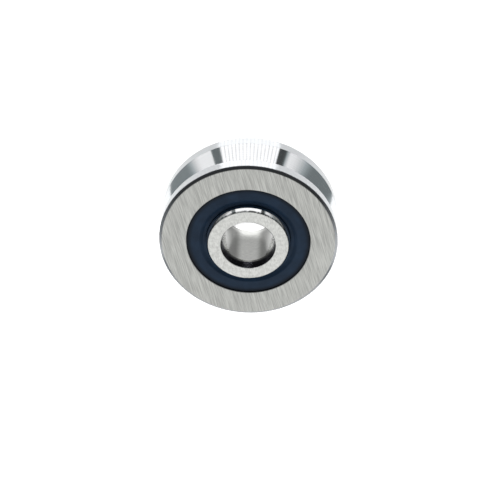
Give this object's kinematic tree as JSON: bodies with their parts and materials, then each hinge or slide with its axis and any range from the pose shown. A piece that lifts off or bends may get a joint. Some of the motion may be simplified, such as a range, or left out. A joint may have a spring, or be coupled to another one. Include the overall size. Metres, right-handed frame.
{
  "type": "v groove wheel",
  "caption": "V groove track roller: a grooved steel wheel turning on a sealed double row ball bearing with a plain bore.",
  "frame": {"origin": "centre of the bore, half way along the inner ring, which is also the middle of the wheel", "axes": "+Z along the axis of rotation, out of the front face; X and Y across the wheel, which is the same all round"},
  "size_m": [0.035, 0.035, 0.013],
  "materials": {
    "ring_steel": "hardened bearing steel, faces ground with a straight grain, groove flanks ground to a shine",
    "inner_ring_steel": "hardened bearing steel, finely ground faces, honed bore",
    "seal_rubber": "moulded nitrile rubber, dark navy, smooth with a soft sheen",
    "cage_plastic": "moulded natural polyamide",
    "ball_steel": "polished chrome steel balls"
  },
  "bodies": {
    "inner_ring": {"inner_ring": "inner_ring_steel"},
    "wheel": {"outer_ring": "ring_steel", "front_seal": "seal_rubber", "rear_seal": "seal_rubber"},
    "front_cage": {"front_cage": "cage_plastic"},
    "rear_cage": {"rear_cage": "cage_plastic"},
    "ball_front_01": {"ball_front_01": "ball_steel"},
    "ball_front_02": {"ball_front_02": "ball_steel"},
    "ball_front_03": {"ball_front_03": "ball_steel"},
    "ball_front_04": {"ball_front_04": "ball_steel"},
    "ball_front_05": {"ball_front_05": "ball_steel"},
    "ball_front_06": {"ball_front_06": "ball_steel"},
    "ball_front_07": {"ball_front_07": "ball_steel"},
    "ball_front_08": {"ball_front_08": "ball_steel"},
    "ball_front_09": {"ball_front_09": "ball_steel"},
    "ball_front_10": {"ball_front_10": "ball_steel"},
    "ball_front_11": {"ball_front_11": "ball_steel"},
    "ball_front_12": {"ball_front_12": "ball_steel"},
    "ball_front_13": {"ball_front_13": "ball_steel"},
    "ball_rear_01": {"ball_rear_01": "ball_steel"},
    "ball_rear_02": {"ball_rear_02": "ball_steel"},
    "ball_rear_03": {"ball_rear_03": "ball_steel"},
    "ball_rear_04": {"ball_rear_04": "ball_steel"},
    "ball_rear_05": {"ball_rear_05": "ball_steel"},
    "ball_rear_06": {"ball_rear_06": "ball_steel"},
    "ball_rear_07": {"ball_rear_07": "ball_steel"},
    "ball_rear_08": {"ball_rear_08": "ball_steel"},
    "ball_rear_09": {"ball_rear_09": "ball_steel"},
    "ball_rear_10": {"ball_rear_10": "ball_steel"},
    "ball_rear_11": {"ball_rear_11": "ball_steel"},
    "ball_rear_12": {"ball_rear_12": "ball_steel"},
    "ball_rear_13": {"ball_rear_13": "ball_steel"}
  },
  "joints": [
    {"name": "wheel_spin", "type": "hinge", "parent": "inner_ring", "child": "wheel", "pos_m": [0, 0, 0], "axis": [0, 0, 1], "continuous": true},
    {"name": "front_cage_spin", "type": "hinge", "parent": "inner_ring", "child": "front_cage", "pos_m": [0, 0, 0], "axis": [0, 0, 1], "continuous": true},
    {"name": "rear_cage_spin", "type": "hinge", "parent": "inner_ring", "child": "rear_cage", "pos_m": [0, 0, 0], "axis": [0, 0, 1], "continuous": true},
    {"name": "ball_front_01_spin", "type": "hinge", "parent": "front_cage", "child": "ball_front_01", "pos_m": [0.01, 0, 0.00175], "axis": [0.5, 0, 0.866], "continuous": true},
    {"name": "ball_front_02_spin", "type": "hinge", "parent": "front_cage", "child": "ball_front_02", "pos_m": [0.00885, 0.00465, 0.00175], "axis": [0.4427, 0.2324, 0.866], "continuous": true},
    {"name": "ball_front_03_spin", "type": "hinge", "parent": "front_cage", "child": "ball_front_03", "pos_m": [0.00568, 0.00823, 0.00175], "axis": [0.284, 0.4115, 0.866], "continuous": true},
    {"name": "ball_front_04_spin", "type": "hinge", "parent": "front_cage", "child": "ball_front_04", "pos_m": [0.00121, 0.00993, 0.00175], "axis": [0.0603, 0.4964, 0.866], "continuous": true},
    {"name": "ball_front_05_spin", "type": "hinge", "parent": "front_cage", "child": "ball_front_05", "pos_m": [-0.00355, 0.00935, 0.00175], "axis": [-0.1773, 0.4675, 0.866], "continuous": true},
    {"name": "ball_front_06_spin", "type": "hinge", "parent": "front_cage", "child": "ball_front_06", "pos_m": [-0.00749, 0.00663, 0.00175], "axis": [-0.3743, 0.3316, 0.866], "continuous": true},
    {"name": "ball_front_07_spin", "type": "hinge", "parent": "front_cage", "child": "ball_front_07", "pos_m": [-0.00971, 0.00239, 0.00175], "axis": [-0.4855, 0.1197, 0.866], "continuous": true},
    {"name": "ball_front_08_spin", "type": "hinge", "parent": "front_cage", "child": "ball_front_08", "pos_m": [-0.00971, -0.00239, 0.00175], "axis": [-0.4855, -0.1197, 0.866], "continuous": true},
    {"name": "ball_front_09_spin", "type": "hinge", "parent": "front_cage", "child": "ball_front_09", "pos_m": [-0.00749, -0.00663, 0.00175], "axis": [-0.3743, -0.3316, 0.866], "continuous": true},
    {"name": "ball_front_10_spin", "type": "hinge", "parent": "front_cage", "child": "ball_front_10", "pos_m": [-0.00355, -0.00935, 0.00175], "axis": [-0.1773, -0.4675, 0.866], "continuous": true},
    {"name": "ball_front_11_spin", "type": "hinge", "parent": "front_cage", "child": "ball_front_11", "pos_m": [0.00121, -0.00993, 0.00175], "axis": [0.0603, -0.4964, 0.866], "continuous": true},
    {"name": "ball_front_12_spin", "type": "hinge", "parent": "front_cage", "child": "ball_front_12", "pos_m": [0.00568, -0.00823, 0.00175], "axis": [0.284, -0.4115, 0.866], "continuous": true},
    {"name": "ball_front_13_spin", "type": "hinge", "parent": "front_cage", "child": "ball_front_13", "pos_m": [0.00885, -0.00465, 0.00175], "axis": [0.4427, -0.2324, 0.866], "continuous": true},
    {"name": "ball_rear_01_spin", "type": "hinge", "parent": "rear_cage", "child": "ball_rear_01", "pos_m": [0.00971, 0.00239, -0.00175], "axis": [-0.4855, -0.1197, 0.866], "continuous": true},
    {"name": "ball_rear_02_spin", "type": "hinge", "parent": "rear_cage", "child": "ball_rear_02", "pos_m": [0.00749, 0.00663, -0.00175], "axis": [-0.3743, -0.3316, 0.866], "continuous": true},
    {"name": "ball_rear_03_spin", "type": "hinge", "parent": "rear_cage", "child": "ball_rear_03", "pos_m": [0.00355, 0.00935, -0.00175], "axis": [-0.1773, -0.4675, 0.866], "continuous": true},
    {"name": "ball_rear_04_spin", "type": "hinge", "parent": "rear_cage", "child": "ball_rear_04", "pos_m": [-0.00121, 0.00993, -0.00175], "axis": [0.0603, -0.4964, 0.866], "continuous": true},
    {"name": "ball_rear_05_spin", "type": "hinge", "parent": "rear_cage", "child": "ball_rear_05", "pos_m": [-0.00568, 0.00823, -0.00175], "axis": [0.284, -0.4115, 0.866], "continuous": true},
    {"name": "ball_rear_06_spin", "type": "hinge", "parent": "rear_cage", "child": "ball_rear_06", "pos_m": [-0.00885, 0.00465, -0.00175], "axis": [0.4427, -0.2324, 0.866], "continuous": true},
    {"name": "ball_rear_07_spin", "type": "hinge", "parent": "rear_cage", "child": "ball_rear_07", "pos_m": [-0.01, 0, -0.00175], "axis": [0.5, 0, 0.866], "continuous": true},
    {"name": "ball_rear_08_spin", "type": "hinge", "parent": "rear_cage", "child": "ball_rear_08", "pos_m": [-0.00885, -0.00465, -0.00175], "axis": [0.4427, 0.2324, 0.866], "continuous": true},
    {"name": "ball_rear_09_spin", "type": "hinge", "parent": "rear_cage", "child": "ball_rear_09", "pos_m": [-0.00568, -0.00823, -0.00175], "axis": [0.284, 0.4115, 0.866], "continuous": true},
    {"name": "ball_rear_10_spin", "type": "hinge", "parent": "rear_cage", "child": "ball_rear_10", "pos_m": [-0.00121, -0.00993, -0.00175], "axis": [0.0603, 0.4964, 0.866], "continuous": true},
    {"name": "ball_rear_11_spin", "type": "hinge", "parent": "rear_cage", "child": "ball_rear_11", "pos_m": [0.00355, -0.00935, -0.00175], "axis": [-0.1773, 0.4675, 0.866], "continuous": true},
    {"name": "ball_rear_12_spin", "type": "hinge", "parent": "rear_cage", "child": "ball_rear_12", "pos_m": [0.00749, -0.00663, -0.00175], "axis": [-0.3743, 0.3316, 0.866], "continuous": true},
    {"name": "ball_rear_13_spin", "type": "hinge", "parent": "rear_cage", "child": "ball_rear_13", "pos_m": [0.00971, -0.00239, -0.00175], "axis": [-0.4855, 0.1197, 0.866], "continuous": true}
  ],
  "couplings": [
    {"joint": "front_cage_spin", "follows": "wheel_spin", "ratio": 0.56874},
    {"joint": "rear_cage_spin", "follows": "wheel_spin", "ratio": 0.56874},
    {"joint": "ball_front_01_spin", "follows": "wheel_spin", "ratio": 3.0901},
    {"joint": "ball_front_02_spin", "follows": "wheel_spin", "ratio": 3.0901},
    {"joint": "ball_front_03_spin", "follows": "wheel_spin", "ratio": 3.0901},
    {"joint": "ball_front_04_spin", "follows": "wheel_spin", "ratio": 3.0901},
    {"joint": "ball_front_05_spin", "follows": "wheel_spin", "ratio": 3.0901},
    {"joint": "ball_front_06_spin", "follows": "wheel_spin", "ratio": 3.0901},
    {"joint": "ball_front_07_spin", "follows": "wheel_spin", "ratio": 3.0901},
    {"joint": "ball_front_08_spin", "follows": "wheel_spin", "ratio": 3.0901},
    {"joint": "ball_front_09_spin", "follows": "wheel_spin", "ratio": 3.0901},
    {"joint": "ball_front_10_spin", "follows": "wheel_spin", "ratio": 3.0901},
    {"joint": "ball_front_11_spin", "follows": "wheel_spin", "ratio": 3.0901},
    {"joint": "ball_front_12_spin", "follows": "wheel_spin", "ratio": 3.0901},
    {"joint": "ball_front_13_spin", "follows": "wheel_spin", "ratio": 3.0901},
    {"joint": "ball_rear_01_spin", "follows": "wheel_spin", "ratio": 3.0901},
    {"joint": "ball_rear_02_spin", "follows": "wheel_spin", "ratio": 3.0901},
    {"joint": "ball_rear_03_spin", "follows": "wheel_spin", "ratio": 3.0901},
    {"joint": "ball_rear_04_spin", "follows": "wheel_spin", "ratio": 3.0901},
    {"joint": "ball_rear_05_spin", "follows": "wheel_spin", "ratio": 3.0901},
    {"joint": "ball_rear_06_spin", "follows": "wheel_spin", "ratio": 3.0901},
    {"joint": "ball_rear_07_spin", "follows": "wheel_spin", "ratio": 3.0901},
    {"joint": "ball_rear_08_spin", "follows": "wheel_spin", "ratio": 3.0901},
    {"joint": "ball_rear_09_spin", "follows": "wheel_spin", "ratio": 3.0901},
    {"joint": "ball_rear_10_spin", "follows": "wheel_spin", "ratio": 3.0901},
    {"joint": "ball_rear_11_spin", "follows": "wheel_spin", "ratio": 3.0901},
    {"joint": "ball_rear_12_spin", "follows": "wheel_spin", "ratio": 3.0901},
    {"joint": "ball_rear_13_spin", "follows": "wheel_spin", "ratio": 3.0901}
  ]
}
